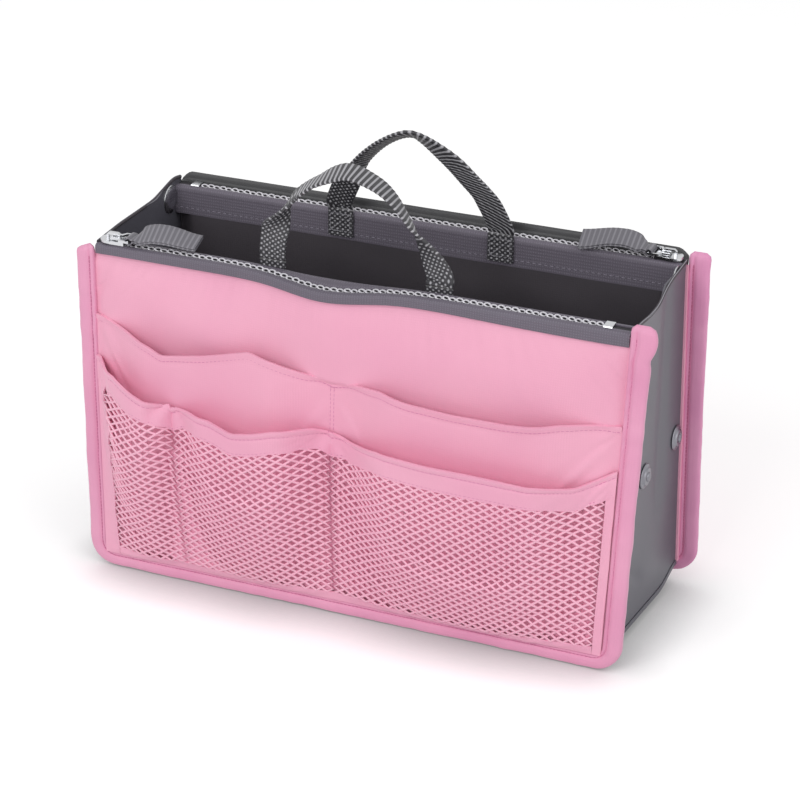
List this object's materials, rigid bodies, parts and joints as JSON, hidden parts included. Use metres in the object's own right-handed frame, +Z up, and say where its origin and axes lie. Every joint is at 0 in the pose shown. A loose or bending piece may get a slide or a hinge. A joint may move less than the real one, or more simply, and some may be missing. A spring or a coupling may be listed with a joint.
{
  "type": "purse organizer insert",
  "caption": "Open-topped fabric handbag insert with two zipped padded walls, outside pockets with open net fronts, press studs on the ends and webbing carry handles.",
  "frame": {"origin": "centre of the flat underside of the base", "axes": "+X along the front wall to the viewer's right, +Y from the front wall to the back wall, +Z up"},
  "size_m": [0.28, 0.1343, 0.2278],
  "materials": {
    "pink_nylon": "matte woven nylon",
    "pink_net": "open knitted net",
    "grey_nylon": "coated woven nylon",
    "dark_lining": "matte woven lining",
    "foam": "thin wadding between the layers",
    "zip_tape": "woven tape",
    "zip_coil": "silvery coated teeth",
    "bright_metal": "bright plated",
    "webbing": "ribbed webbing",
    "popper_metal": "dark plated press stud"
  },
  "bodies": {
    "root": {"back_outer_panel": "pink_nylon", "back_padding": "foam", "back_lining": "dark_lining", "back_binding": "pink_nylon", "back_zip_outer_tape": "zip_tape", "back_zip_inner_tape": "zip_tape", "back_zip_outer_chain": "zip_coil", "back_zip_inner_chain": "zip_coil", "back_zip_end_stop": "bright_metal", "back_handle_right_foot": "webbing", "back_handle_left_foot": "webbing", "back_pocket": "pink_nylon", "bottom_base": "grey_nylon", "bottom_lining": "dark_lining", "left_gusset": "grey_nylon", "right_gusset": "grey_nylon", "left_back_popper": "popper_metal", "right_back_popper": "popper_metal", "left_top_popper": "popper_metal", "right_top_popper": "popper_metal"},
    "front_wall": {"front_outer_panel": "pink_nylon", "front_padding": "foam", "front_lining": "dark_lining", "front_binding": "pink_nylon", "front_zip_outer_tape": "zip_tape", "front_zip_inner_tape": "zip_tape", "front_zip_outer_chain": "zip_coil", "front_zip_inner_chain": "zip_coil", "front_zip_end_stop": "bright_metal", "front_handle_left_foot": "webbing", "front_handle_right_foot": "webbing", "front_upper_pocket": "pink_nylon", "front_mesh_band": "pink_nylon", "front_left_net": "pink_net", "front_middle_net": "pink_net", "front_right_net": "pink_net", "left_front_popper": "popper_metal", "right_front_popper": "popper_metal"},
    "front_slider": {"front_zip_slider": "bright_metal"},
    "front_puller": {"front_zip_puller": "bright_metal"},
    "front_tab": {"front_pull_tab": "webbing"},
    "back_slider": {"back_zip_slider": "bright_metal"},
    "back_puller": {"back_zip_puller": "bright_metal"},
    "back_tab": {"back_pull_tab": "webbing"},
    "front_handle_loop": {"front_handle": "webbing"},
    "back_handle_loop": {"back_handle": "webbing"}
  },
  "joints": [
    {"name": "front_wall_fold", "type": "hinge", "parent": "root", "child": "front_wall", "pos_m": [0, -0.037, 0.0088], "axis": [-1, 0, 0], "range_deg": [0, 9]},
    {"name": "front_zip_slide", "type": "slide", "parent": "front_wall", "child": "front_slider", "axis": [1, 0, 0], "range_m": [0, 0.233], "deforming": ["front_zip_outer_chain", "front_zip_inner_chain"]},
    {"name": "front_puller_swing", "type": "hinge", "parent": "front_slider", "child": "front_puller", "pos_m": [-0.1229, -0.0414, 0.1755], "axis": [0, -1, 0], "range_deg": [0, 120]},
    {"name": "front_tab_swing", "type": "hinge", "parent": "front_puller", "child": "front_tab", "pos_m": [-0.11375, -0.0414, 0.1755], "axis": [0, -1, 0], "range_deg": [0, 60]},
    {"name": "front_handle_swing", "type": "hinge", "parent": "front_wall", "child": "front_handle_loop", "pos_m": [-0.001, -0.0352, 0.175], "axis": [1, 0, 0], "range_deg": [0, 95]},
    {"name": "back_zip_slide", "type": "slide", "parent": "root", "child": "back_slider", "axis": [-1, 0, 0], "range_m": [0, 0.233], "deforming": ["back_zip_outer_chain", "back_zip_inner_chain"]},
    {"name": "back_puller_swing", "type": "hinge", "parent": "back_slider", "child": "back_puller", "pos_m": [0.1229, 0.0414, 0.1755], "axis": [0, 1, 0], "range_deg": [0, 120]},
    {"name": "back_tab_swing", "type": "hinge", "parent": "back_puller", "child": "back_tab", "pos_m": [0.11375, 0.0414, 0.1755], "axis": [0, 1, 0], "range_deg": [0, 60]},
    {"name": "back_handle_swing", "type": "hinge", "parent": "root", "child": "back_handle_loop", "pos_m": [0.001, 0.0352, 0.175], "axis": [-1, 0, 0], "range_deg": [0, 100]}
  ]
}
